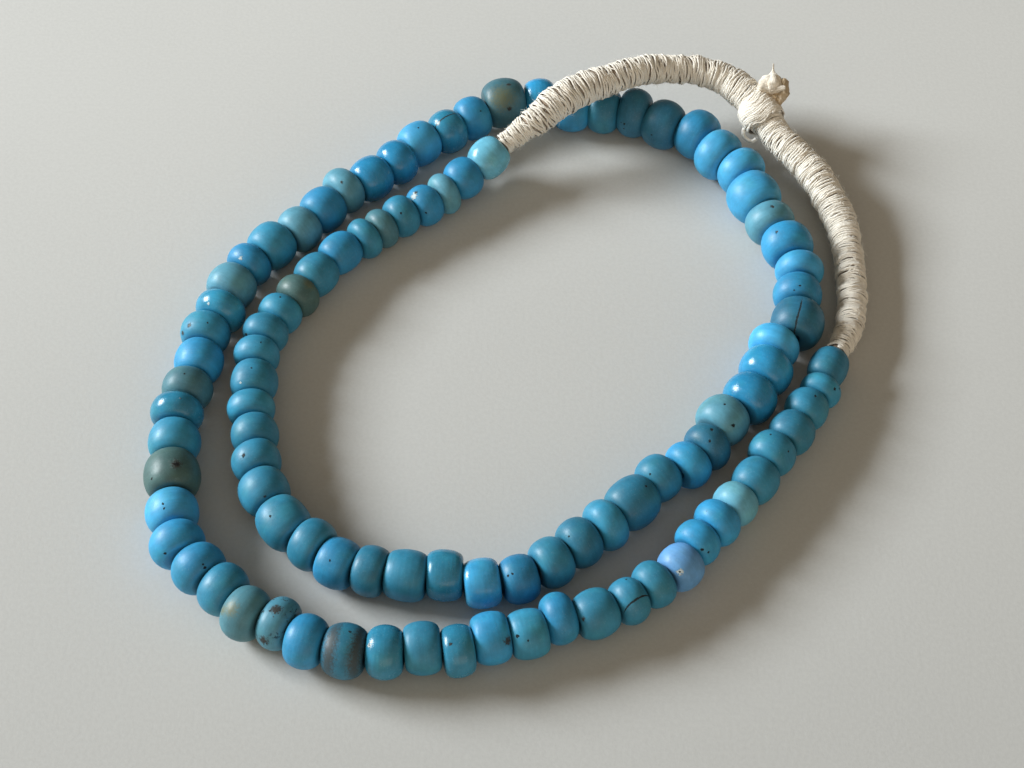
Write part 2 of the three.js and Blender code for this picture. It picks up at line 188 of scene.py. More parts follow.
# The marks on the beads. along is from -1, the end where the string comes in, to 1. around is in degrees from
# the top of the bead towards the right of the way the string runs, and size is across the mark in millimetres.
MARKS = (
    {"bead": 4, "kind": "chip", "along": 0.75, "around": 15, "size": 1.5},
    {"bead": 4, "kind": "rust", "along": 0.5, "around": 15, "size": 0.75},
    {"bead": 4, "kind": "pit", "along": 0.75, "around": -60, "size": 0.5},
    {"bead": 5, "kind": "pit", "along": 0.5, "around": -30, "size": 0.5},
    {"bead": 10, "kind": "tan", "along": -0.5, "around": -30, "size": 2},
    {"bead": 11, "kind": "pit", "along": -0.25, "around": 0, "size": 0.4},
    {"bead": 12, "kind": "pit", "along": 0.9, "around": 60, "size": 0.75},
    {"bead": 13, "kind": "pit", "along": 0, "around": -15, "size": 0.4},
    {"bead": 14, "kind": "chip", "along": 0.75, "around": 30, "size": 0.5},
    {"bead": 14, "kind": "pit", "along": 0, "around": 0, "size": 0.4},
    {"bead": 17, "kind": "pit", "along": 0.25, "around": 30, "size": 0.75},
    {"bead": 18, "kind": "rust", "along": 0.9, "around": 15, "size": 0.6},
    {"bead": 19, "kind": "pit", "along": 0, "around": 30, "size": 0.5},
    {"bead": 21, "kind": "pit", "along": 0, "around": 30, "size": 0.4},
    {"bead": 26, "kind": "pit", "along": -0.5, "around": 15, "size": 0.4},
    {"bead": 26, "kind": "pit", "along": -0.75, "around": 15, "size": 0.4},
    {"bead": 28, "kind": "pit", "along": -0.75, "around": 0, "size": 0.4},
    {"bead": 30, "kind": "pit", "along": 0.5, "around": 15, "size": 0.5},
    {"bead": 31, "kind": "pit", "along": -0.75, "around": 0, "size": 0.4},
    {"bead": 33, "kind": "pit", "along": -0.5, "around": 15, "size": 0.5},
    {"bead": 33, "kind": "pit", "along": 0.25, "around": 0, "size": 0.6},
    {"bead": 34, "kind": "pit", "along": -0.5, "around": 45, "size": 0.75},
    {"bead": 34, "kind": "pit", "along": 0, "around": 0, "size": 0.4},
    {"bead": 38, "kind": "crack", "along": -0.5, "around": 0, "size": 0.35},
    {"bead": 39, "kind": "pit", "along": -0.5, "around": 0, "size": 0.4},
    {"bead": 39, "kind": "pit", "along": -0.75, "around": -15, "size": 0.3},
    {"bead": 41, "kind": "rust", "along": 0, "around": -30, "size": 0.6},
    {"bead": 42, "kind": "rust", "along": 0, "around": 0, "size": 0.75},
    {"bead": 47, "kind": "pit", "along": 0, "around": -75, "size": 0.4},
    {"bead": 48, "kind": "pit", "along": 0.25, "around": -75, "size": 0.5},
    {"bead": 48, "kind": "pit", "along": 0.25, "around": -90, "size": 0.4},
    {"bead": 48, "kind": "pit", "along": 0.5, "around": -75, "size": 0.3},
    {"bead": 52, "kind": "tan", "along": 0.25, "around": -30, "size": 4.5},
    {"bead": 52, "kind": "rust", "along": -0.25, "around": 0, "size": 0.9},
    {"bead": 52, "kind": "rust", "along": 0, "around": -60, "size": 0.9},
    {"bead": 53, "kind": "pit", "along": -0.25, "around": -30, "size": 0.4},
    {"bead": 54, "kind": "crack", "along": 0.25, "around": 0, "size": 0.3},
    {"bead": 54, "kind": "chip", "along": 0.75, "around": 0, "size": 0.8},
    {"bead": 55, "kind": "pit", "along": 0, "around": 0, "size": 0.4},
    {"bead": 58, "kind": "rust", "along": 0.5, "around": -15, "size": 0.6},
    {"bead": 62, "kind": "chip", "along": 0.75, "around": 0, "size": 0.8},
    {"bead": 64, "kind": "chip", "along": 0.75, "around": 15, "size": 0.6},
    {"bead": 65, "kind": "rust", "along": 0.5, "around": 30, "size": 0.8},
    {"bead": 65, "kind": "rust", "along": 0.75, "around": 60, "size": 1},
    {"bead": 65, "kind": "pit", "along": 0.25, "around": -15, "size": 0.4},
    {"bead": 67, "kind": "pit", "along": 0, "around": 0, "size": 0.4},
    {"bead": 68, "kind": "pit", "along": 0, "around": -15, "size": 0.4},
    {"bead": 70, "kind": "rust", "along": 0.25, "around": -15, "size": 1.75},
    {"bead": 70, "kind": "pit", "along": 0.25, "around": -15, "size": 0.9},
    {"bead": 70, "kind": "pit", "along": 0.6, "around": 45, "size": 0.5},
    {"bead": 71, "kind": "pit", "along": 0.25, "around": 15, "size": 0.5},
    {"bead": 71, "kind": "pit", "along": 0.5, "around": 15, "size": 0.4},
    {"bead": 72, "kind": "pit", "along": 0.9, "around": 45, "size": 0.6},
    {"bead": 73, "kind": "pit", "along": 0.9, "around": 0, "size": 0.6},
    {"bead": 73, "kind": "pit", "along": 0.75, "around": 0, "size": 0.4},
    {"bead": 75, "kind": "tan", "along": -0.25, "around": 30, "size": 2.5},
    {"bead": 75, "kind": "tan", "along": -0.75, "around": 45, "size": 1.5},
    {"bead": 76, "kind": "rust", "along": 0, "around": 0, "size": 1.75},
    {"bead": 76, "kind": "rust", "along": 0, "around": 75, "size": 1.75},
    {"bead": 78, "kind": "stripe", "along": -0.5, "around": 30, "size": 2.3},
    {"bead": 78, "kind": "stripe", "along": 0.75, "around": 30, "size": 2.3},
    {"bead": 78, "kind": "pit", "along": 0.25, "around": -15, "size": 0.5},
    {"bead": 79, "kind": "chip", "along": -0.75, "around": 15, "size": 0.8},
    {"bead": 79, "kind": "pit", "along": -0.75, "around": 15, "size": 0.4},
    {"bead": 81, "kind": "pit", "along": -0.5, "around": 15, "size": 0.5},
    {"bead": 82, "kind": "rust", "along": 0.75, "around": 45, "size": 1.5},
    {"bead": 83, "kind": "pit", "along": -0.75, "around": 30, "size": 0.6},
    {"bead": 83, "kind": "pit", "along": -0.25, "around": 45, "size": 0.4},
    {"bead": 85, "kind": "rust", "along": -0.9, "around": 30, "size": 0.8},
    {"bead": 86, "kind": "crack", "along": 0, "around": 30, "size": 0.3},
    {"bead": 86, "kind": "pit", "along": 0.25, "around": -30, "size": 0.4},
    {"bead": 88, "kind": "chip", "along": -0.75, "around": 30, "size": 1.2},
    {"bead": 88, "kind": "pit", "along": -0.75, "around": 30, "size": 0.4},
    {"bead": 89, "kind": "pit", "along": -0.75, "around": 45, "size": 0.6},
    {"bead": 89, "kind": "pit", "along": -0.5, "around": 60, "size": 0.4},
    {"bead": 93, "kind": "pit", "along": 0.25, "around": -15, "size": 0.4},
    {"bead": 93, "kind": "pit", "along": 0, "around": 45, "size": 0.4},
    {"bead": 95, "kind": "pit", "along": 0.25, "around": 15, "size": 0.5},
    {"bead": 96, "kind": "pit", "along": -0.25, "around": 45, "size": 0.6},
    {"bead": 96, "kind": "pit", "along": 0.25, "around": 60, "size": 0.4},
)

# The knot's collar: how thick it is along its length, as shares of the knot's length and diameter.
KNOT_PROFILE = (
    {"along": -0.5, "radius": 0.82},
    {"along": -0.36, "radius": 0.96},
    {"along": -0.12, "radius": 1},
    {"along": 0.16, "radius": 1},
    {"along": 0.36, "radius": 0.95},
    {"along": 0.5, "radius": 0.84},
)
KNOT_PLACE = 0.492
KNOT_LEAN = 0.36  # how far its windings lean along the stretch, as a share of their radius
TUFT_ANGLE = math.radians(-51)  # where they lie furthest back, from the top towards the right of the way
SWELL_ANGLE = math.radians(109)
TUFT_ROOT = Vector((0.65, 0.44, 0.62)).normalized()
TUFT_DIRECTION = Vector((0.25, 0.7, 0.66)).normalized()

# A bud of frayed yarn, from its foot to its thin tip: how thick it is, as a share of its own radius.
BUD_PROFILE = (
    {"along": 0, "radius": 0.35},
    {"along": 0.1, "radius": 0.74},
    {"along": 0.25, "radius": 0.98},
    {"along": 0.4, "radius": 1},
    {"along": 0.52, "radius": 0.84},
    {"along": 0.64, "radius": 0.5},
    {"along": 0.72, "radius": 0.2},
    {"along": 0.8, "radius": 0.09},
    {"along": 1, "radius": 0.05},
)
LOBE_PROFILE = (
    {"along": 0, "radius": 0.5},
    {"along": 0.2, "radius": 0.86},
    {"along": 0.5, "radius": 1},
    {"along": 0.8, "radius": 0.8},
    {"along": 1, "radius": 0.35},
)

# The parts of the tuft. foot is in millimetres from the tuft's foot, to the right, away from the front and up
# the tuft, and way is where the part points. soil is how brown it is.
TUFT_PARTS = (
    {"profile": BUD_PROFILE, "foot": (-1.7, 0, -1.2), "way": (-0.16, 0, 1), "width": 5.3, "height": 7.2,
     "folds": 5, "depth": 0.16, "soil": 0.1, "seed": 3.1},
    {"profile": LOBE_PROFILE, "foot": (-0.2, 0.2, -2.4), "way": (0.12, 0, 1), "width": 4, "height": 5.6,
     "folds": 4, "depth": 0.2, "soil": 0.95, "seed": 8.4},
    {"profile": LOBE_PROFILE, "foot": (-4.8, -1.6, 0.1), "way": (1, 0, 0.2), "width": 2.2, "height": 6.2,
     "folds": 3, "depth": 0.14, "soil": 0.2, "seed": 5.7},
)

# The loose thread end, as places beside the middle of the knot, in knot diameters.
THREAD_END = (
    {"x": -0.4, "y": -0.26, "z": -0.2},
    {"x": -0.45, "y": -0.32, "z": -0.25},
    {"x": -0.47, "y": -0.36, "z": -0.28},
    {"x": -0.46, "y": -0.46, "z": -0.36},
    {"x": -0.36, "y": -0.54, "z": -0.42},
    {"x": -0.25, "y": -0.57, "z": -0.44},
    {"x": -0.15, "y": -0.52, "z": -0.41},
)


def length_setting(name, description, default):
    return FloatProperty(name=name, description=description, default=default, min=0, unit="LENGTH", precision=5)


def colour_setting(name, description, default):
    return FloatVectorProperty(
        name=name, description=description, default=default, min=0, max=1, size=3, subtype="COLOR"
    )


class NecklaceSizes(bpy.types.PropertyGroup):
    """The sizes that the pieces are made from"""

    laid_width: length_setting("Laid width", "Width of the laid necklace", 0.1407)
    laid_depth: length_setting("Laid depth", "Depth of the laid necklace, towards the knot", 0.1479)
    bead_diameter: length_setting("Bead diameter", "Diameter of the largest bead", 0.011)
    hole_diameter: length_setting("Hole diameter", "Diameter of the hole through a bead", 0.0022)
    wrap_diameter: length_setting("Wrap diameter", "Thickest place of the wound neck stretch", 0.0076)
    yarn_diameter: length_setting("Yarn diameter", "Thickness of one winding of yarn", 0.00048)
    knot_diameter: length_setting("Knot diameter", "Thickness of the knot's collar", 0.0084)
    knot_length: length_setting("Knot length", "Length of the knot's collar", 0.008)
    knot_swell: length_setting("Knot swell", "How far the collar swells out on one side", 0.0009)
    tuft_stand: length_setting("Tuft stand", "From the collar's surface to the tuft's foot", 0.0012)
    thread_diameter: length_setting("Thread diameter", "Thickness of the loose thread end", 0.00085)
    fibre_diameter: length_setting("Fibre diameter", "Thickness of a loose fibre", 0.000035)
    unevenness: FloatProperty(
        name="Unevenness", description="How uneven the beads are, as a share of their size", default=0.035, min=0,
        max=0.2,
    )
    bead_steps: IntProperty(
        name="Bead steps", description="How many steps a bead is turned in", default=36, min=12, max=64
    )
    fuzz: IntProperty(name="Fuzz", description="How many loose fibres stand off the yarn", default=2600, min=0)


class NecklaceColours(bpy.types.PropertyGroup):
    """The colours of the glasses, the yarn and the stage"""

    sky_blue: colour_setting("Sky blue", "Glass of the lightest blue beads", (0.05, 0.34, 0.62))
    plain_blue: colour_setting("Plain blue", "Glass of the blue beads", (0.025, 0.24, 0.46))
    teal_blue: colour_setting("Teal blue", "Glass of most of the beads", (0.03, 0.22, 0.36))
    petrol_blue: colour_setting("Petrol blue", "Glass of the darkest blue beads", (0.02, 0.14, 0.24))
    pale_aqua: colour_setting("Pale aqua", "Glass of the light green-blue beads", (0.12, 0.38, 0.52))
    grey_green: colour_setting("Grey green", "Dull glass between blue and green", (0.06, 0.18, 0.23))
    olive: colour_setting("Olive", "The few olive beads", (0.06, 0.13, 0.13))
    periwinkle: colour_setting("Periwinkle", "The one violet-blue bead", (0.12, 0.32, 0.62))
    speckled_blue: colour_setting("Speckled blue", "The pale glass of the speckled bead", (0.07, 0.25, 0.35))
    # Painted shade in the seams at the ends of the beads, where they meet.
    bead_seam_shade: colour_setting("Grime", "The dirt at the ends of the beads", (0.02, 0.035, 0.04))
    yarn: colour_setting("Yarn", "The cotton yarn", (0.96, 0.905, 0.81))
    # It also carries the left leg's extra painted shade.
    yarn_shade: colour_setting("Yarn shade", "The yarn where it is soiled", (0.84, 0.71, 0.55))
    # The core's colour is also painted onto the windings as shade between them.
    core: colour_setting("Core", "The core between the windings", (0.28, 0.19, 0.12))
    fray: colour_setting("Fray", "The frayed tuft", (0.93, 0.86, 0.75))
    # This colour is also painted round the tuft's root on the collar, as painted shade.
    fray_shade: colour_setting("Fray shade", "The tuft where it is soiled", (0.5, 0.38, 0.24))
    thread: colour_setting("Thread", "The loose thread end", (0.98, 0.97, 0.93))
    surface: colour_setting("Surface", "The surface that the necklace lies on", (0.592, 0.597, 0.587))


class NecklaceStage(bpy.types.PropertyGroup):
    """The surface, the light and the camera"""

    surface_width: length_setting("Surface width", "Width of the surface below the necklace", 2.4)
    # The surface fade is painted light falloff on the surface's colour.
    surface_fade: FloatProperty(
        name="Surface fade", description="How much darker the surface is at the front than at the back",
        default=0.24, min=0, max=1,
    )
    window_power: FloatProperty(
        name="Window power", description="Strength of the window's light", default=110, min=0, unit="POWER"
    )
    window_colour: colour_setting("Window colour", "Colour of the daylight", (0.92, 0.975, 1.0))
    window_width: length_setting("Window width", "Width of the window", 1.1)
    window_height: length_setting("Window height", "Height of the window", 0.72)
    window_distance: length_setting("Window distance", "From the necklace to the window", 2.5)
    window_bearing: FloatProperty(
        name="Window bearing", description="Where the window stands, from +Y towards -X", subtype="ANGLE",
        default=math.radians(72),
    )
    window_elevation: FloatProperty(
        name="Window elevation", description="How high the window stands", subtype="ANGLE",
        default=math.radians(24.5),
    )
    bounce_power: FloatProperty(
        name="Bounce power", description="Strength of the low light that a pale wall in front throws back",
        default=2.4, min=0, unit="POWER",
    )
    bounce_colour: colour_setting("Bounce colour", "Colour of the light from the wall", (1.0, 0.92, 0.8))
    bounce_distance: length_setting("Bounce distance", "From the necklace to the wall in front", 1.2)
    bounce_bearing: FloatProperty(
        name="Bounce bearing", description="Where the wall stands, from +Y towards -X", subtype="ANGLE",
        default=math.radians(190),
    )
    bounce_elevation: FloatProperty(
        name="Bounce elevation", description="How high the wall's light stands", subtype="ANGLE",
        default=math.radians(12),
    )
    room_colour: colour_setting("Room colour", "Light that comes back from the room", (0.258, 0.216, 0.16))
    camera_distance: length_setting("Camera distance", "From the camera to the point it looks at", 0.4)
    camera_elevation: FloatProperty(
        name="Camera elevation", description="How high the camera stands", subtype="ANGLE",
        default=math.radians(52),
    )
    focal_length: FloatProperty(
        name="Focal length", description="The camera's focal length in millimetres", default=72, min=10
    )


class Course:
    """A smooth line through places, read by the distance along it."""

    STEPS = 40

    def __init__(self, places):
        before = 2 * places[0] - places[1]
        after = 2 * places[-1] - places[-2]
        ends = [before, *places, after]
        self.points = [places[0]]
        for index in range(len(places) - 1):
            for step in range(1, self.STEPS + 1):
                self.points.append(self.between(*ends[index : index + 4], step / self.STEPS))
        self.distances = [0.0]
        for start, end in zip(self.points, self.points[1:]):
            self.distances.append(self.distances[-1] + (end - start).length)
        self.length = self.distances[-1]

    @staticmethod
    def between(before, start, end, after, share):
        """The place at a share of the way from start to end, with centripetal spacing."""
        first = max((start - before).length ** 0.5, 1e-9)
        middle = (end - start).length ** 0.5
        last = max((after - end).length ** 0.5, 1e-9)
        leave = (start - before) / first - (end - before) / (first + middle) + (end - start) / middle
        arrive = (end - start) / middle - (after - start) / (middle + last) + (after - end) / last
        leave *= middle
        arrive *= middle
        square = 3 * (end - start) - 2 * leave - arrive
        cube = 2 * (start - end) + leave + arrive
        return start + leave * share + square * share**2 + cube * share**3

    def row(self, distance):
        """The place of a distance among the rows of places, as a whole and a part."""
        index = min(max(bisect_right(self.distances, distance) - 1, 0), len(self.points) - 2)
        part = (distance - self.distances[index]) / (self.distances[index + 1] - self.distances[index])
        return (index + min(max(part, 0), 1)) / self.STEPS

    def section(self, distance):
        """The section there, as a matrix: X is level to the right, Y goes along and Z points up."""
        place = self.row(distance) * self.STEPS
        index = min(int(place), len(self.points) - 2)
        start, end = self.points[index], self.points[index + 1]
        centre = start.lerp(end, place - index)
        behind = self.points[max(index - 1, 0)]
        ahead = self.points[min(index + 2, len(self.points) - 1)]
        along = (end - behind).normalized().lerp((ahead - start).normalized(), place - index).normalized()
        if centre.z < 0:
            centre.z = 0
            along = Vector((along.x, along.y, 0)).normalized()
        side = along.cross(UP).normalized()
        up = side.cross(along)
        turned = Matrix((side, along, up)).transposed().to_4x4()
        return Matrix.Translation(centre) @ turned


class Bead:
    """One bead of the chart: its size, its glass and its place on the string."""

    def __init__(self, number, row, column, length, end, course, sizes, colours):
        self.number = number
        self.length = length
        girth = SMALLEST_GIRTH + int(row["girths"][column]) * GIRTH_STEP
        self.radius = sizes.bead_diameter * girth / 2
        form = row["forms"][column]
        self.roundness = ROUNDNESS[form.lower()]
        self.gloss = 2.6 if form.isupper() else random.Random(number).uniform(0, 0.6)
        shade = SHADE_KINDS[row["shades"][column]]
        self.glass = Vector(getattr(colours, GLASSES[row["glasses"][column]])) * shade
        self.speckle = 1.0 if row["glasses"][column] == "m" else 0.0
        aside = ASIDE_KINDS[row["asides"][column]] * sizes.bead_diameter
        section = course.section(end - length / 2)
        side = section.to_3x3() @ Vector((aside, 0, 0))
        self.place = Matrix.Translation(side + UP * self.radius) @ section


def laid(sizes, x, y, height):
    return Vector((x * sizes.laid_width / 100, y * sizes.laid_depth / 100, height))


def string_course(sizes):
    return Course([laid(sizes, row["x"], row["y"], row["lift"] * sizes.bead_diameter) for row in STRING_ROUTE])


def charted_beads(sizes, colours):
    course = string_course(sizes)
    places = [(row, column) for row in BEAD_CHART for column in range(len(row["lengths"]))]
    lengths = [LENGTH_KINDS[row["lengths"][column]] for row, column in places]
    fill = course.length / sum(lengths)
    beads = []
    end = 0.0
    for number, ((row, column), length) in enumerate(zip(places, lengths), start=1):
        end += length * fill
        beads.append(Bead(number, row, column, length * fill, end, course, sizes, colours))
    return beads


def end_face(bead, way):
    return bead.place @ Vector((0, way * bead.length / 2, 0))


class Wrap:
    """The wound neck stretch's course, its thickness and the knot's place on it."""

    def __init__(self, sizes, colours):
        beads = charted_beads(sizes, colours)
        middles = []
        for row in WRAP_ROUTE:
            height = row["under"] * sizes.bead_diameter + row["girth"] * sizes.wrap_diameter / 2
            middles.append(laid(sizes, row["x"], row["y"], height))
        self.course = Course([end_face(beads[0], -1), *middles, end_face(beads[-1], 1)])
        self.girths = [WRAP_END_GIRTH, *(row["girth"] for row in WRAP_ROUTE), WRAP_END_GIRTH]
        self.diameter = sizes.wrap_diameter
        self.length = self.course.length
        self.knot_diameter = sizes.knot_diameter
        self.knot_length = sizes.knot_length
        self.swell = sizes.knot_swell
        self.knot_middle = KNOT_PLACE * self.length
        self.knot_start = self.knot_middle - sizes.knot_length / 2
        self.knot_end = self.knot_middle + sizes.knot_length / 2

    def radius(self, distance):
        row = self.course.row(distance)
        before = min(int(row), len(self.girths) - 2)
        girth = self.girths[before] + (self.girths[before + 1] - self.girths[before]) * (row - before)
        return girth * self.diameter / 2

    def leg_radius(self, distance, angle):
        """The outside of a leg's windings, which lie lumpily."""
        place = Vector((distance / (1.5 * MM), 0.4 * math.sin(angle), 0.4 * math.cos(angle)))
        return self.radius(distance) + 0.38 * MM * noise.noise(place)

    def collar_radius(self, distance, angle):
        """The outside of the knot's windings, which swell out on the side away from the tuft."""
        along = (distance - self.knot_middle) / self.knot_length
        swell = max(math.cos(angle - SWELL_ANGLE), 0) * max(1 - 4 * along**2, 0)
        full = profile_radius(KNOT_PROFILE, along) * self.knot_diameter / 2 + swell * self.swell
        rim = (0.5 + along) / 0.14 if along < 0 else (0.72 - along) / 0.36
        shoulder = min(max(rim, 0), 1) ** 0.5
        return self.radius(distance) * (1 - shoulder) + full * shoulder


def profile_radius(profile, along):
    for before, after in zip(profile, profile[1:]):
        if along <= after["along"]:
            share = max(along - before["along"], 0) / (after["along"] - before["along"])
            return before["radius"] + (after["radius"] - before["radius"]) * share
    return profile[-1]["radius"]


def finish_piece(name, mesh, material, slot, *nodes):
    """Makes a piece from a bmesh or a mesh, in place of the CAD nodes that it stands for."""
    if isinstance(mesh, bmesh.types.BMesh):
        data = bpy.data.meshes.new(name)
        mesh.to_mesh(data)
        mesh.free()
    else:
        data = mesh
    data.materials.append(material)
    data.shade_smooth()
    piece = bpy.data.objects.new(name, data)
    bpy.context.scene.collection.objects.link(piece)
    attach(piece, "root")
    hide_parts(*nodes)
    return piece


# Materials


class Finish:
    """A material that is built node by node."""

    def __init__(self, name):
        self.material = bpy.data.materials.new(name)
        self.material.use_nodes = True
        self.nodes = self.material.node_tree.nodes
        self.links = self.material.node_tree.links
        self.shader = self.nodes["Principled BSDF"]

    def feed(self, socket, value):
        if isinstance(value, bpy.types.NodeSocket):
            self.links.new(value, socket)
        elif value is not None:
            socket.default_value = value

    def attribute(self, name, output="Vector"):
        node = self.nodes.new("ShaderNodeAttribute")
        node.attribute_name = name
        return node.outputs[output]

    def object_place(self):
        return self.nodes.new("ShaderNodeTexCoord").outputs["Object"]

    def math(self, operation, first, second=None, clamp=False):
        node = self.nodes.new("ShaderNodeMath")
        node.operation = operation
        node.use_clamp = clamp
        self.feed(node.inputs[0], first)
        self.feed(node.inputs[1], second)
        return node.outputs[0]

    def vector(self, operation, first, second=None, output="Vector"):
        node = self.nodes.new("ShaderNodeVectorMath")
        node.operation = operation
        self.feed(node.inputs[0], first)
        self.feed(node.inputs[1], second)
        return node.outputs[output]

    def noise(self, place, scale, detail=3.0, roughness=0.5, output="Fac"):
        node = self.nodes.new("ShaderNodeTexNoise")
        self.feed(node.inputs["Vector"], place)
        node.inputs["Scale"].default_value = scale
        node.inputs["Detail"].default_value = detail
        node.inputs["Roughness"].default_value = roughness
        return node.outputs[output]

    def cells(self, place, scale, output="Distance"):
        node = self.nodes.new("ShaderNodeTexVoronoi")
        self.feed(node.inputs["Vector"], place)
        node.inputs["Scale"].default_value = scale
        return node.outputs[output]

    def spread(self, value, start, end, low=0.0, high=1.0):
        """Spreads start to end over low to high, smoothly and without going past them."""
        node = self.nodes.new("ShaderNodeMapRange")
        node.interpolation_type = "SMOOTHSTEP"
        self.feed(node.inputs["Value"], value)
        for socket, number in zip(("From Min", "From Max", "To Min", "To Max"), (start, end, low, high)):
            self.feed(node.inputs[socket], number)
        return node.outputs["Result"]

    def mixed(self, share, first, second, blend="MIX"):
        node = self.nodes.new("ShaderNodeMix")
        node.data_type = "RGBA"
        node.blend_type = blend
        self.feed(node.inputs["Factor"], share)
        self.feed(node.inputs[6], (*first, 1) if isinstance(first, (tuple, list)) else first)
        self.feed(node.inputs[7], (*second, 1) if isinstance(second, (tuple, list)) else second)
        return node.outputs[2]

    def toned(self, colour, tone):
        """The colour times a grey value."""
        return self.vector("MULTIPLY", colour, self.joined(tone, tone, tone))

    def joined(self, x, y, z):
        node = self.nodes.new("ShaderNodeCombineXYZ")
        for socket, value in zip(node.inputs, (x, y, z)):
            self.feed(socket, value)
        return node.outputs[0]

    def parted(self, vector):
        node = self.nodes.new("ShaderNodeSeparateXYZ")
        self.feed(node.inputs[0], vector)
        return node.outputs

    def bump(self, height, depth, strength=1.0):
        node = self.nodes.new("ShaderNodeBump")
        node.inputs["Strength"].default_value = strength
        node.inputs["Distance"].default_value = depth
        self.feed(node.inputs["Height"], height)
        self.feed(self.shader.inputs["Normal"], node.outputs["Normal"])

    def surface(self, colour, roughness, **settings):
        self.feed(self.shader.inputs["Base Color"], colour)
        self.feed(self.shader.inputs["Roughness"], roughness)
        for name, value in settings.items():
            self.shader.inputs[name.replace("_", " ")].default_value = value
        return self.material


def linear(colour):
    return tuple(colour)[:3]


def old_glass(colours):
    """Opaque wound glass: faint bands round the bead, clouds, small pits, a worn gloss, painted shade at the ends
    where beads meet and the bead's own marks. The bead_ attributes hold millimetres in the bead's own directions."""
    finish = Finish("old_glass")
    place = finish.attribute("bead_place")
    seed = finish.attribute("bead_seed")
    # wear holds the speckle, the share towards the bead's ends for the painted seam shade, and the gloss.
    wear = finish.parted(finish.attribute("bead_speckle_end_gloss"))
    inside = finish.vector("ADD", place, seed)
    glass = finish.attribute("glass", "Color")

    clouds = finish.noise(inside, 0.32, 4, 0.6)
    colour = finish.toned(glass, finish.spread(clouds, 0.3, 0.72, 0.87, 1.15))
    greener = finish.vector("MULTIPLY", colour, (1.15, 1.03, 0.86))
    colour = finish.mixed(finish.spread(finish.noise(inside, 0.21, 2), 0.45, 0.75, 0, 0.7), colour, greener)
    banded = finish.vector("ADD", finish.vector("MULTIPLY", place, (0.1, 1, 0.1)), seed)
    bands = finish.noise(banded, 1.7, 4, 0.65)
    colour = finish.toned(colour, finish.spread(bands, 0.3, 0.7, 0.94, 1.05))

    # Small dark pits, more of them on some beads, and a pale bloom
    dots = finish.cells(inside, 1.1)
    few = finish.noise(inside, 0.9, 1)
    pitted = finish.math("MULTIPLY", finish.spread(dots, 0.04, 0.09, 1, 0), finish.spread(few, 0.6, 0.66))
    patches = finish.spread(finish.noise(inside, 0.35, 2), 0.5, 0.6)
    speckled = finish.spread(finish.noise(inside, 1.6, 5, 0.75), 0.55, 0.6)
    speckles = finish.math("MULTIPLY", finish.math("MULTIPLY", speckled, patches), wear[0])
    dark = finish.math("MAXIMUM", finish.math("MULTIPLY", pitted, 0.75), speckles)
    colour = finish.mixed(dark, colour, (0.015, 0.018, 0.018))
    bloom = finish.spread(finish.noise(inside, 2.6, 6, 0.75), 0.52, 0.8, 0, 0.2)
    colour = finish.mixed(bloom, colour, (0.4, 0.55, 0.62))

    # The marks, each with a pale rim where it is dark and sharp
    wobble = finish.vector("SUBTRACT", finish.noise(inside, 2.4, 4, 0.7, "Color"), (0.5, 0.5, 0.5))
    hollow = finish.math("MULTIPLY", dark, 0.6)
    for slot in range(MARK_SLOTS):
        tint = finish.attribute(f"mark_tint_{slot}", "Color")
        size = finish.attribute(f"mark_tint_{slot}", "Alpha")
        drawn = finish.attribute(f"mark_drawn_{slot}", "Color")
        softness = finish.attribute(f"mark_drawn_{slot}", "Alpha")
        ragged = finish.vector("MULTIPLY", wobble, finish.joined(size, size, size))
        ragged = finish.vector("MULTIPLY", ragged, (1.5, 1.5, 1.5))
        offset = finish.vector("SUBTRACT", place, finish.attribute(f"mark_place_{slot}"))
        offset = finish.vector("MULTIPLY", finish.vector("ADD", offset, ragged), drawn)
        distance = finish.vector("LENGTH", offset, output="Value")
        share = finish.math("DIVIDE", distance, finish.math("MAXIMUM", size, 0.0001))
        half = finish.math("MULTIPLY", softness, 0.5)
        core = finish.spread(share, finish.math("SUBTRACT", 0.5, half), finish.math("ADD", 0.5, half), 1, 0)
        sharp = finish.math("SUBTRACT", 1.0, softness)
        rim = finish.math("MULTIPLY", finish.spread(share, 0.5, 0.8, 1, 0), finish.math("MULTIPLY", sharp, 0.35))
        colour = finish.mixed(rim, colour, finish.vector("MULTIPLY", colour, (1.5, 1.4, 1.3)))
        colour = finish.mixed(finish.math("MULTIPLY", core, 0.96), colour, tint)
        hollow = finish.math("MAXIMUM", hollow, finish.math("MULTIPLY", core, sharp))

    # Painted shade: darker towards each bead's ends, in the seams where the beads meet.
    seam_shade_share = finish.spread(finish.math("ADD", wear[1], finish.math("MULTIPLY", clouds, 0.06)), 0.97, 1.03, 0, 0.35)
    colour = finish.mixed(seam_shade_share, colour, linear(colours.bead_seam_shade))

    smears = finish.noise(inside, 0.8, 5, 0.7)
    roughness = finish.spread(smears, 0.3, 0.75, -0.06, 0.08)
    roughness = finish.math("ADD", roughness, finish.math("SUBTRACT", 0.54, finish.math("MULTIPLY", wear[2], 0.12)))
    roughness = finish.math("ADD", roughness, finish.math("MULTIPLY", hollow, 0.4), clamp=True)
    skin = finish.math("MULTIPLY", finish.noise(inside, 5, 4, 0.6), 0.12)
    rings = finish.math("MULTIPLY", bands, 0.3)
    height = finish.math("SUBTRACT", finish.math("ADD", skin, rings), hollow)
    finish.bump(height, 0.00012)
    return finish.surface(colour, roughness, IOR=1.48, Specular_IOR_Level=0.42, Coat_Weight=0.08,
                          Coat_Roughness=0.25)


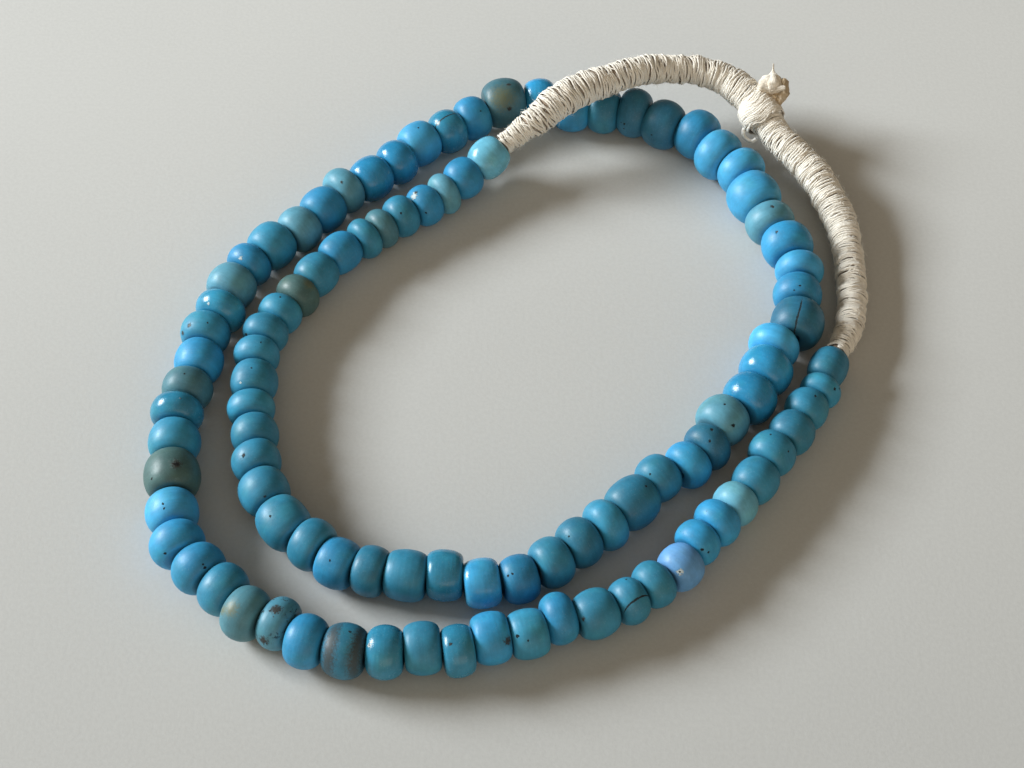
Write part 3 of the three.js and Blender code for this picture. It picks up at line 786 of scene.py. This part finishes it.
def cotton_yarn(colours, name, soiled, crevice_dirt_and_shade, tuft_shade_centre=None):
    """Yarn of twisted cotton. The strand attribute holds the millimetres along the strand, the turn round it and
    how deep the place lies between the windings. soiled is how much of the yarn is soiled, the next number is how
    light dirt and painted shade leave the strands low between the windings, and the last is a place with painted
    brown shade round it, below the tuft. Short dark lines of the core's colour are painted between the windings
    as shade."""
    finish = Finish(name)
    parts = finish.parted(finish.attribute("strand"))
    own = finish.object_place()
    base, shade, core = linear(colours.yarn), linear(colours.yarn_shade), linear(colours.core)
    twisted = finish.joined(
        finish.math("MULTIPLY", parts[0], 0.55),
        finish.math("ADD", finish.math("MULTIPLY", parts[1], 2.2), finish.math("MULTIPLY", parts[0], 3.4)),
        0.0,
    )
    fibres = finish.noise(twisted, 1.0, 4, 0.7)
    drift = finish.noise(finish.joined(finish.math("MULTIPLY", parts[0], 0.07), 0.0, 3.1), 1.0, 4, 0.65)
    soil = finish.noise(own, 230, 4, 0.6)
    colour = finish.mixed(finish.spread(drift, 0.48, 0.72, 0, soiled), base, shade)
    colour = finish.mixed(finish.spread(soil, 0.5, 0.74, 0, 0.8 * soiled), colour, shade)
    # Painted shade: brown round a place below the tuft, where the tuft shades the collar.
    if tuft_shade_centre is not None:
        reach = finish.vector("DISTANCE", own, tuple(tuft_shade_centre), output="Value")
        uneven = finish.math("ADD", reach, finish.math("MULTIPLY", soil, 0.002))
        colour = finish.mixed(finish.spread(uneven, 0.0022, 0.0044, 0.85, 0), colour, linear(colours.fray_shade))
    colour = finish.toned(colour, finish.spread(fibres, 0.25, 0.75, 0.84, 1.1))
    # Dirt and painted shade: the strands darker where they lie low between the windings.
    colour = finish.toned(colour, finish.spread(parts[2], 0.2, 0.7, 1, crevice_dirt_and_shade))
    # Painted shade: short dark lines of the core's colour between the windings, in patches.
    gap_shade_patches = finish.math("MULTIPLY", finish.math("SUBTRACT", finish.noise(own, 420, 3, 0.6), 0.5), 1.4)
    colour = finish.mixed(finish.spread(finish.math("ADD", parts[2], gap_shade_patches), 0.6, 1, 0, 0.85), colour, core)
    finish.bump(fibres, 0.00012)
    return finish.surface(
        colour, finish.spread(fibres, 0.2, 0.8, 0.8, 0.97), Sheen_Weight=0.1, Sheen_Roughness=0.5,
        Specular_IOR_Level=0.15,
    )


def frayed_cotton(colours):
    """The tuft's papery cotton, finely creased from its foot to its tip. The bud attribute holds the turn round
    a part of the tuft, the place along it and how brown it is."""
    finish = Finish("frayed_cotton")
    parts = finish.parted(finish.attribute("bud"))
    own = finish.object_place()
    creased = finish.joined(finish.math("MULTIPLY", parts[0], 3.5), finish.math("MULTIPLY", parts[1], 1.6), 0.0)
    creases = finish.noise(creased, 1.0, 4, 0.65)
    broad = finish.noise(own, 420, 4, 0.6)
    brown = finish.math("ADD", parts[2], finish.spread(broad, 0.3, 0.7, -0.28, 0.3), clamp=True)
    colour = finish.mixed(brown, linear(colours.fray), linear(colours.fray_shade))
    colour = finish.toned(colour, finish.spread(creases, 0.3, 0.7, 0.82, 1.1))
    finish.bump(finish.math("ADD", creases, finish.math("MULTIPLY", broad, 0.5)), 0.0003)
    return finish.surface(colour, 0.88, Specular_IOR_Level=0.2, Sheen_Weight=0.1)


def loose_fibre(name, base, shade):
    """Loose cotton, which reads its own place."""
    finish = Finish(name)
    own = finish.object_place()
    fine = finish.noise(own, 1400, 4, 0.7)
    broad = finish.noise(own, 330, 3, 0.5)
    colour = finish.mixed(finish.spread(broad, 0.4, 0.68), linear(base), linear(shade))
    colour = finish.toned(colour, finish.spread(fine, 0.3, 0.7, 0.85, 1.12))
    finish.bump(fine, 0.0001)
    return finish.surface(colour, 0.92, Specular_IOR_Level=0.15, Sheen_Weight=0.2)


def pale_paper(colours, fade):
    """The surface's matte paper, with painted light falloff that makes it darker towards the front, and a faint tooth.
    """
    finish = Finish("pale_paper")
    own = finish.object_place()
    tooth = finish.noise(own, 1300, 4, 0.6)
    broad = finish.noise(own, 11, 3, 0.5)
    colour = finish.toned(linear(colours.surface), finish.spread(broad, 0.3, 0.7, 0.985, 1.01))
    # Painted light falloff: darker towards the front, lighter towards the back.
    colour = finish.toned(colour, finish.spread(finish.parted(own)[1], -0.16, 0.16, 1 - fade / 2, 1 + fade / 2))
    colour = finish.toned(colour, finish.spread(tooth, 0.3, 0.7, 0.97, 1.02))
    finish.bump(tooth, 0.00003)
    return finish.surface(colour, 0.85, Specular_IOR_Level=0.25)


# Beads


def bead_reach(bead, slope):
    """How far a bead's skin is from its hole's middle, where slope is 0 at the belly and a right angle at the
    end."""
    lip = BEAD_LIP * bead.radius
    return lip + (bead.radius - lip) * max(math.cos(slope), 0) ** bead.roundness


def turned_bead(bead, hole_radius, steps):
    """Half of a bead's section, from the hole over the belly and back, turned round the hole."""
    half = bead.length / 2
    outline = [(hole_radius, -half * 0.9), (hole_radius * 1.35, -half * 0.985)]
    for step in range(-9, 10):
        slope = math.radians(step * 10)
        outline.append((bead_reach(bead, slope), half * math.sin(slope)))
    outline += [(hole_radius * 1.35, half * 0.985), (hole_radius, half * 0.9)]
    mesh = bmesh.new()
    ring = [mesh.verts.new((radius, along, 0)) for radius, along in outline]
    edges = [mesh.edges.new((start, end)) for start, end in zip(ring, [*ring[1:], ring[0]])]
    bmesh.ops.spin(mesh, geom=[*ring, *edges], axis=(0, 1, 0), angle=math.tau, steps=steps, use_merge=True)
    return mesh


def lay_bead(verts, bead, unevenness, layers):
    """Notes what the glass needs to know on a bead's vertices, makes the bead a little uneven and lays it in
    its place."""
    seed = Vector((bead.number * 7.3, bead.number * 3.1, bead.number * 11.7))
    constants = mark_values(bead)
    constants["glass"] = (*bead.glass, 1)
    constants["bead_seed"] = seed
    for vert in verts:
        place = vert.co.copy()
        vert[layers["bead_place"]] = place / MM
        # The middle value is the share towards the bead's ends, which the glass uses for its painted seam shade.
        vert[layers["bead_speckle_end_gloss"]] = (bead.speckle, abs(place.y) / (bead.length / 2), bead.gloss)
        for name, value in constants.items():
            vert[layers[name]] = value
        uneven = noise.noise_vector(place / bead.radius * 0.8 + seed) * unevenness * bead.radius
        vert.co = bead.place @ (place + Vector((uneven.x, uneven.y * 0.6, uneven.z)))
        vert.co.z = max(vert.co.z, 0)


def mark_values(bead):
    """What the mark attributes hold on this bead, in each slot."""
    marks = [mark for mark in MARKS if mark["bead"] == bead.number]
    values = {}
    for slot in range(MARK_SLOTS):
        values[f"mark_place_{slot}"] = Vector((1000, 1000, 1000))
        values[f"mark_tint_{slot}"] = (0, 0, 0, 0.001)
        values[f"mark_drawn_{slot}"] = (1, 1, 1, 0.1)
    for slot, mark in enumerate(marks):
        kind = MARK_KINDS[mark["kind"]]
        reach = bead_reach(bead, math.asin(mark["along"]))
        around = math.radians(mark["around"])
        place = Vector((reach * math.sin(around), mark["along"] * bead.length / 2, reach * math.cos(around)))
        values[f"mark_place_{slot}"] = place / MM
        values[f"mark_tint_{slot}"] = (*kind["tint"], mark["size"])
        values[f"mark_drawn_{slot}"] = (*kind["drawn"], kind["softness"])
    return values


def bead_layers(mesh):
    vectors = ["bead_place", "bead_seed", "bead_speckle_end_gloss"]
    colours = ["glass"]
    for slot in range(MARK_SLOTS):
        vectors.append(f"mark_place_{slot}")
        colours += [f"mark_tint_{slot}", f"mark_drawn_{slot}"]
    for name in vectors:
        mesh.verts.layers.float_vector.new(name)
    for name in colours:
        mesh.verts.layers.float_color.new(name)
    layers = {name: mesh.verts.layers.float_vector[name] for name in vectors}
    layers.update({name: mesh.verts.layers.float_color[name] for name in colours})
    return layers


def add_string(name, beads, sizes, material, node):
    mesh = bmesh.new()
    for bead in beads:
        turned = turned_bead(bead, sizes.hole_diameter / 2, sizes.bead_steps)
        data = bpy.data.meshes.new("bead")
        turned.to_mesh(data)
        turned.free()
        mesh.from_mesh(data)
        bpy.data.meshes.remove(data)
    layers = bead_layers(mesh)
    verts = list(mesh.verts)
    share = len(verts) // len(beads)
    for index, bead in enumerate(beads):
        lay_bead(verts[index * share : (index + 1) * share], bead, sizes.unevenness, layers)
    bmesh.ops.recalc_face_normals(mesh, faces=mesh.faces)
    return finish_piece(name, mesh, material, "bead_glass", node)


# Yarn


@dataclass
class Winding:
    """One strand, wound round the course from start to end. radius_at gives the outside of the windings at a
    distance and an angle, loose is how unevenly the turns lie, and lean is how far they lean along the course, as
    a share of their radius, where lean_at is the angle at which they lie furthest back. sunk is how far they lie
    below the outside."""

    course: Course
    radius_at: Callable
    start: float
    end: float
    thickness: float
    pitch: float
    seed: float
    loose: float = 0.5
    lean: float = 0.0
    lean_at: float = 0.0
    sunk: float = 0.0

    STEPS = 24
    SIDES = 6
    FLATNESS = 0.6

    def wander(self, angle, turn, pace, shelf):
        """A smooth uneven number that changes round the course and from turn to turn."""
        return noise.noise(Vector((math.cos(angle) + shelf, math.sin(angle) + self.seed, turn * pace)))

    def ring(self, share, turns):
        """Where the strand is at a share of its way: its centre, the ways out and along, how deep it lies, and
        the distance run."""
        turn = share * turns
        angle = turn * math.tau
        middle = (self.start + self.end) / 2
        reach = abs(self.lean) * self.radius_at(middle, 0)
        at = self.start + reach + (self.end - self.start - 2 * reach) * share
        bunched = self.wander(angle, turn, 0.31, 0)
        apart = self.wander(angle, turn, 0.83, 40)
        leaned = (1 + 0.5 * self.wander(0, turn, 0.16, 80)) * reach * math.cos(angle - self.lean_at)
        shift = self.loose * self.pitch * (1.6 * bunched + 1.3 * apart) - math.copysign(leaned, self.lean)
        lift = self.loose * self.thickness * (0.5 * bunched + 0.7 * apart)
        place = min(max(at + shift, self.start), self.end)
        section = self.course.section(place)
        outward = section.to_3x3() @ Vector((math.sin(angle), 0, math.cos(angle)))
        along = section.to_3x3() @ Vector((0, 1, 0))
        radius = self.radius_at(place, angle) - self.sunk - self.FLATNESS * self.thickness / 2 + lift
        return section.translation + outward * radius, outward, along, -lift / self.thickness, turn * math.tau * radius

    def add_to(self, mesh, layer):
        turns = max(round((self.end - self.start) / self.pitch), 1)
        steps = turns * self.STEPS
        grid = bmesh.ops.create_grid(mesh, x_segments=steps, y_segments=self.SIDES, size=1)
        rings = [self.ring(step / steps, turns) for step in range(steps + 1)]
        for vert in grid["verts"]:
            centre, outward, along, depth, distance = rings[round((vert.co.x + 1) / 2 * steps)]
            roll = (vert.co.y + 1) * math.pi
            way = outward * math.cos(roll) * self.FLATNESS + along * math.sin(roll) * 1.08
            vert.co = centre + way * self.thickness / 2
            vert.co.z = max(vert.co.z, 0)
            vert[layer] = (distance / MM, roll, min(max(0.5 - 0.5 * math.cos(roll) + depth, 0), 1))
        bmesh.ops.remove_doubles(mesh, verts=grid["verts"], dist=self.thickness * 0.02)


def add_core(mesh, layer, course, radius_at, start, end, depth):
    """The dark body under the windings."""
    rings = max(round((end - start) / (1.2 * MM)), 3)
    grid = bmesh.ops.create_grid(mesh, x_segments=rings, y_segments=20, size=1)
    for vert in grid["verts"]:
        share = (vert.co.x + 1) / 2
        roll = (vert.co.y + 1) * math.pi
        at = start + (end - start) * share
        inner = radius_at(at, roll) - depth
        vert.co = course.section(at) @ Vector((inner * math.sin(roll), 0, inner * math.cos(roll)))
        vert.co.z = max(vert.co.z, 0)
        vert[layer] = (at / MM, roll, 1)
    bmesh.ops.remove_doubles(mesh, verts=grid["verts"], dist=0.02 * MM)


def add_yarn(name, wrap, windings, depth, material, node):
    """A core, so deep below the outside, with windings over it."""
    mesh = bmesh.new()
    layer = mesh.verts.layers.float_vector.new("strand")
    first = windings[0]
    add_core(mesh, layer, wrap.course, first.radius_at, first.start, first.end, depth)
    for winding in windings:
        winding.add_to(mesh, layer)
    bmesh.ops.holes_fill(mesh, edges=[edge for edge in mesh.edges if edge.is_boundary], sides=0)
    bmesh.ops.recalc_face_normals(mesh, faces=mesh.faces)
    return finish_piece(name, mesh, material, "cotton_yarn", node)


def leg_windings(wrap, thickness, start, end, seed):
    """The close windings of a leg, a few that lie over them at a slant, and a thin thread."""
    def wound(thickness, pitch, *rest):
        return Winding(wrap.course, wrap.leg_radius, start, end, thickness, pitch, *rest)

    return (
        wound(thickness, 0.98 * thickness, seed, 0.7, 0.06),
        wound(0.8 * thickness, 6 * thickness, seed + 31, 0.16, 0.3, TUFT_ANGLE),
        wound(0.8 * thickness, 13 * thickness, seed + 57, 0.08, -0.22),
        wound(0.4 * thickness, 9 * thickness, seed + 93, 0.12, 0.4, TUFT_ANGLE),
    )


def collar_windings(wrap, thickness):
    """The knot's thick windings, which lean back at the tuft."""
    def wound(thickness, pitch, *rest):
        start, end = wrap.knot_start - 0.2 * MM, wrap.knot_end + 1.4 * MM
        return Winding(wrap.course, wrap.collar_radius, start, end, thickness, pitch, *rest)

    return (
        wound(thickness, 0.8 * thickness, 29, 0.4, 0.8 * KNOT_LEAN, TUFT_ANGLE, 1.3 * thickness),
        wound(thickness, 0.92 * thickness, 61, 0.35, KNOT_LEAN, TUFT_ANGLE),
        wound(thickness, 2.4 * thickness, 83, 0.3, 1.1 * KNOT_LEAN, TUFT_ANGLE),
    )


def add_fibres(name, rows, thickness, material, slot, *nodes):
    """Thin fibres, each a row of places, as one piece."""
    curve = bpy.data.curves.new(name, "CURVE")
    curve.dimensions = "3D"
    curve.bevel_depth = thickness / 2
    curve.bevel_resolution = 0 if len(rows) > 1 else 3
    curve.use_fill_caps = True
    for places in rows:
        spline = curve.splines.new("POLY")
        spline.points.add(len(places) - 1)
        for point, place in zip(spline.points, places):
            point.co = (*place, 1)
    holder = bpy.data.objects.new(name + "_curve", curve)
    bpy.context.scene.collection.objects.link(holder)
    bpy.context.view_layer.update()
    mesh = bpy.data.meshes.new_from_object(holder.evaluated_get(bpy.context.evaluated_depsgraph_get()))
    mesh.name = name
    mesh.materials.clear()
    bpy.data.objects.remove(holder)
    return finish_piece(name, mesh, material, slot, *nodes)


def fuzz_fibres(wrap, sizes):
    """Short loose fibres that lie and stand off the windings."""
    chance = random.Random(5)
    fibres = []
    for _ in range(sizes.fuzz):
        at = chance.uniform(0.001, wrap.length - 0.001)
        angle = chance.uniform(0, math.tau)
        section = wrap.course.section(at)
        if wrap.knot_start < at < wrap.knot_end:
            radius = wrap.collar_radius(at, angle)
        else:
            radius = wrap.leg_radius(at, angle)
        outward = section.to_3x3() @ Vector((math.sin(angle), 0, math.cos(angle)))
        along = section.to_3x3() @ Vector((0, 1, 0))
        around = outward.cross(along)
        lean = (around * chance.uniform(-1, 1) + along * chance.uniform(-0.8, 0.8)).normalized()
        reach = chance.uniform(0.5, 1.6) * MM
        rise = chance.uniform(0.15, 0.6)
        bend = Vector((chance.uniform(-1, 1), chance.uniform(-1, 1), chance.uniform(-1, 1))) * 0.3
        root = section.translation + outward * (radius - 0.15 * MM)
        places = []
        for step in range(5):
            share = step / 4
            way = lean * share + outward * (rise * share * (1.5 - share)) + bend * share**2
            place = root + way * reach
            place.z = max(place.z, 0.02 * MM)
            places.append(place)
        fibres.append(places)
    return fibres


def add_tuft(wrap, sizes, material):
    """The frayed end beside the knot: a papery bud with a thin tip, a soiled lobe beside it and a lip below."""
    knot = wrap.course.section(wrap.knot_middle).translation
    foot = knot + TUFT_ROOT * (sizes.knot_diameter / 2 + sizes.tuft_stand)
    side = TUFT_DIRECTION.cross(UP).normalized()
    stand = Matrix((side, TUFT_DIRECTION.cross(side), TUFT_DIRECTION)).transposed().to_4x4()
    mesh = bmesh.new()
    layer = mesh.verts.layers.float_vector.new("bud")
    for part in TUFT_PARTS:
        turned = Vector(part["way"]).to_track_quat("Z", "Y").to_matrix().to_4x4()
        place = Matrix.Translation(foot) @ stand @ Matrix.Translation(Vector(part["foot"]) * MM) @ turned
        ball = bmesh.ops.create_uvsphere(mesh, u_segments=56, v_segments=44, radius=1)
        for vert in ball["verts"]:
            along = 1 - math.acos(min(max(vert.co.z, -1), 1)) / math.pi
            turn = math.atan2(vert.co.y, vert.co.x)
            swirl = part["folds"] / 2 * turn + 2.2 * along + part["seed"]
            crease = 1 - part["depth"] * (1 - abs(math.sin(swirl + noise.noise(vert.co * 1.5)))) ** 1.5
            radius = profile_radius(part["profile"], along) * crease * part["width"] / 2
            if 0.001 > Vector((vert.co.x, vert.co.y)).length:
                radius = 0
            spot = Vector((radius * math.cos(turn), radius * math.sin(turn), along * part["height"]))
            crumpled = noise.noise_vector(spot * 0.55 + Vector((part["seed"],) * 3)) * 0.55
            vert.co = place @ ((spot + crumpled * min(radius, 1)) * MM)
            vert[layer] = (turn, along * part["height"], part["soil"])
    bmesh.ops.recalc_face_normals(mesh, faces=mesh.faces)
    return finish_piece("frayed_tuft", mesh, material, "frayed_cotton", "knot_tuft")


def loose_end_places(wrap, sizes):
    knot = wrap.course.section(wrap.knot_middle).translation
    course = Course([knot + Vector((row["x"], row["y"], row["z"])) * sizes.knot_diameter for row in THREAD_END])
    return [course.section(course.length * step / 30).translation for step in range(31)]


class NECKLACE_OT_string_beads(bpy.types.Operator):
    """String the glass beads in two turns"""

    bl_idname = "necklace.string_beads"
    bl_label = "String Beads"

    def execute(self, context):
        sizes = context.scene.necklace_sizes
        colours = context.scene.necklace_colours
        beads = charted_beads(sizes, colours)
        material = old_glass(colours)
        add_string("beads_inner", beads[:INNER_TURN_COUNT], sizes, material, "bead_string_inner")
        add_string("beads_outer", beads[INNER_TURN_COUNT:], sizes, material, "bead_string_outer")
        return {"FINISHED"}


class NECKLACE_OT_wind_yarn(bpy.types.Operator):
    """Wind the cotton yarn round both legs of the neck stretch"""

    bl_idname = "necklace.wind_yarn"
    bl_label = "Wind Yarn"

    def execute(self, context):
        sizes = context.scene.necklace_sizes
        colours = context.scene.necklace_colours
        wrap = Wrap(sizes, colours)
        deep = 1.2 * sizes.yarn_diameter
        left = leg_windings(wrap, sizes.yarn_diameter, 0.1 * MM, wrap.knot_middle, 11)
        right = leg_windings(wrap, sizes.yarn_diameter, wrap.knot_middle, wrap.length - 0.1 * MM, 47)
        # The left leg's yarn is browner than the right's: both are soiled, and the left's extra brown is painted
        # shade.
        add_yarn("yarn_leg_left", wrap, left, deep, cotton_yarn(colours, "soiled_and_shaded_yarn", 0.4, 0.9), "wrap_left")
        add_yarn("yarn_leg_right", wrap, right, deep, cotton_yarn(colours, "pale_yarn", 0.3, 0.85), "wrap_right")
        return {"FINISHED"}


class NECKLACE_OT_tie_knot(bpy.types.Operator):
    """Tie the knot between the legs, with its frayed tuft and its loose thread end"""

    bl_idname = "necklace.tie_knot"
    bl_label = "Tie Knot"

    def execute(self, context):
        sizes = context.scene.necklace_sizes
        colours = context.scene.necklace_colours
        wrap = Wrap(sizes, colours)
        knot = wrap.course.section(wrap.knot_middle).translation
        # The centre of the painted brown shade below the tuft's root.
        tuft_shade_centre = knot + TUFT_ROOT * sizes.knot_diameter / 2
        windings = collar_windings(wrap, 1.4 * sizes.yarn_diameter)
        material = cotton_yarn(colours, "knot_yarn", 0.3, 0.6, tuft_shade_centre)
        add_yarn("yarn_collar", wrap, windings, 2.4 * MM, material, "wrap_knot")
        add_tuft(wrap, sizes, frayed_cotton(colours))
        add_fibres(
            "loose_thread", [loose_end_places(wrap, sizes)], sizes.thread_diameter,
            loose_fibre("white_thread", colours.thread, colours.yarn), "white_thread", "loose_thread_end",
        )
        return {"FINISHED"}


class NECKLACE_OT_raise_fuzz(bpy.types.Operator):
    """Raise the loose fibres that stand off the yarn"""

    bl_idname = "necklace.raise_fuzz"
    bl_label = "Raise Fuzz"

    def execute(self, context):
        sizes = context.scene.necklace_sizes
        colours = context.scene.necklace_colours
        wrap = Wrap(sizes, colours)
        fuzz = loose_fibre("yarn_fuzz", colours.thread, colours.yarn)
        add_fibres("yarn_fuzz", fuzz_fibres(wrap, sizes), sizes.fibre_diameter, fuzz, "cotton_yarn")
        return {"FINISHED"}


def add_area_light(name, size, power, colour, bearing, elevation, distance):
    """A soft light that stands at a bearing, from +Y towards -X, and faces the necklace."""
    light = bpy.data.lights.new(name, "AREA")
    light.shape = "RECTANGLE"
    light.size, light.size_y = size
    light.energy = power
    light.color = colour
    level = math.cos(elevation)
    towards = Vector((-math.sin(bearing) * level, math.cos(bearing) * level, math.sin(elevation)))
    holder = bpy.data.objects.new(name, light)
    holder.location = towards * distance
    holder.rotation_euler = towards.to_track_quat("Z", "Y").to_euler()
    bpy.context.scene.collection.objects.link(holder)


class NECKLACE_OT_set_stage(bpy.types.Operator):
    """Set out the pale surface, the window light and the camera"""

    bl_idname = "necklace.set_stage"
    bl_label = "Set Stage"

    def execute(self, context):
        stage = context.scene.necklace_stage
        colours = context.scene.necklace_colours
        mesh = bmesh.new()
        bmesh.ops.create_grid(mesh, x_segments=1, y_segments=1, size=stage.surface_width / 2)
        data = bpy.data.meshes.new("pale_surface")
        mesh.to_mesh(data)
        mesh.free()
        data.materials.append(pale_paper(colours, stage.surface_fade))
        surface = bpy.data.objects.new("pale_surface", data)
        context.scene.collection.objects.link(surface)

        add_area_light(
            "window", (stage.window_width, stage.window_height), stage.window_power, stage.window_colour,
            stage.window_bearing, stage.window_elevation, stage.window_distance,
        )
        add_area_light(
            "bounce", (stage.window_width, stage.window_height), stage.bounce_power, stage.bounce_colour,
            stage.bounce_bearing, stage.bounce_elevation, stage.bounce_distance,
        )

        world = bpy.data.worlds.new("room")
        world.use_nodes = True
        nodes, links = world.node_tree.nodes, world.node_tree.links
        ways = nodes.new("ShaderNodeSeparateXYZ")
        links.new(nodes.new("ShaderNodeTexCoord").outputs["Generated"], ways.inputs[0])
        fall = nodes.new("ShaderNodeMapRange")
        links.new(ways.outputs["Y"], fall.inputs["Value"])
        for name, value in zip(("From Min", "From Max", "To Min", "To Max"), (-1, 1, 2, 0)):
            fall.inputs[name].default_value = value
        background = nodes["Background"]
        background.inputs["Color"].default_value = (*stage.room_colour, 1)
        links.new(fall.outputs["Result"], background.inputs["Strength"])
        context.scene.world = world

        looked_at = Vector((-0.0013, -0.0056, 0))
        back = Vector((0, -math.cos(stage.camera_elevation), math.sin(stage.camera_elevation)))
        camera = bpy.data.cameras.new("camera")
        camera.lens = stage.focal_length
        camera.sensor_width = 36
        camera.clip_start = 0.01
        holder = bpy.data.objects.new("camera", camera)
        holder.location = looked_at + back * stage.camera_distance
        holder.rotation_euler = back.to_track_quat("Z", "Y").to_euler()
        context.scene.collection.objects.link(holder)
        context.scene.camera = holder
        context.scene.view_settings.view_transform = "Standard"
        return {"FINISHED"}


class NECKLACE_PT_pieces(bpy.types.Panel):
    """The necklace's pieces, sizes and colours"""

    bl_idname = "NECKLACE_PT_pieces"
    bl_label = "Necklace"
    bl_space_type = "VIEW_3D"
    bl_region_type = "UI"
    bl_category = "Necklace"

    def draw(self, context):
        for operator in OPERATORS:
            self.layout.operator(operator.bl_idname)
        for settings in SETTINGS:
            box = self.layout.box()
            group = getattr(context.scene, settings)
            for name in SETTINGS[settings].__annotations__:
                box.prop(group, name)


OPERATORS = (
    NECKLACE_OT_string_beads,
    NECKLACE_OT_wind_yarn,
    NECKLACE_OT_tie_knot,
    NECKLACE_OT_raise_fuzz,
    NECKLACE_OT_set_stage,
)
SETTINGS = {
    "necklace_sizes": NecklaceSizes,
    "necklace_colours": NecklaceColours,
    "necklace_stage": NecklaceStage,
}


def register():
    for name, group in SETTINGS.items():
        bpy.utils.register_class(group)
        setattr(bpy.types.Scene, name, PointerProperty(type=group))
    for operator in OPERATORS:
        bpy.utils.register_class(operator)
    bpy.utils.register_class(NECKLACE_PT_pieces)


def unregister():
    bpy.utils.unregister_class(NECKLACE_PT_pieces)
    for operator in reversed(OPERATORS):
        bpy.utils.unregister_class(operator)
    for name, group in reversed(SETTINGS.items()):
        delattr(bpy.types.Scene, name)
        bpy.utils.unregister_class(group)


def main():
    register()
    bpy.ops.necklace.string_beads()
    bpy.ops.necklace.wind_yarn()
    bpy.ops.necklace.tie_knot()
    bpy.ops.necklace.raise_fuzz()
    bpy.ops.necklace.set_stage()


if __name__ == "__main__":
    main()
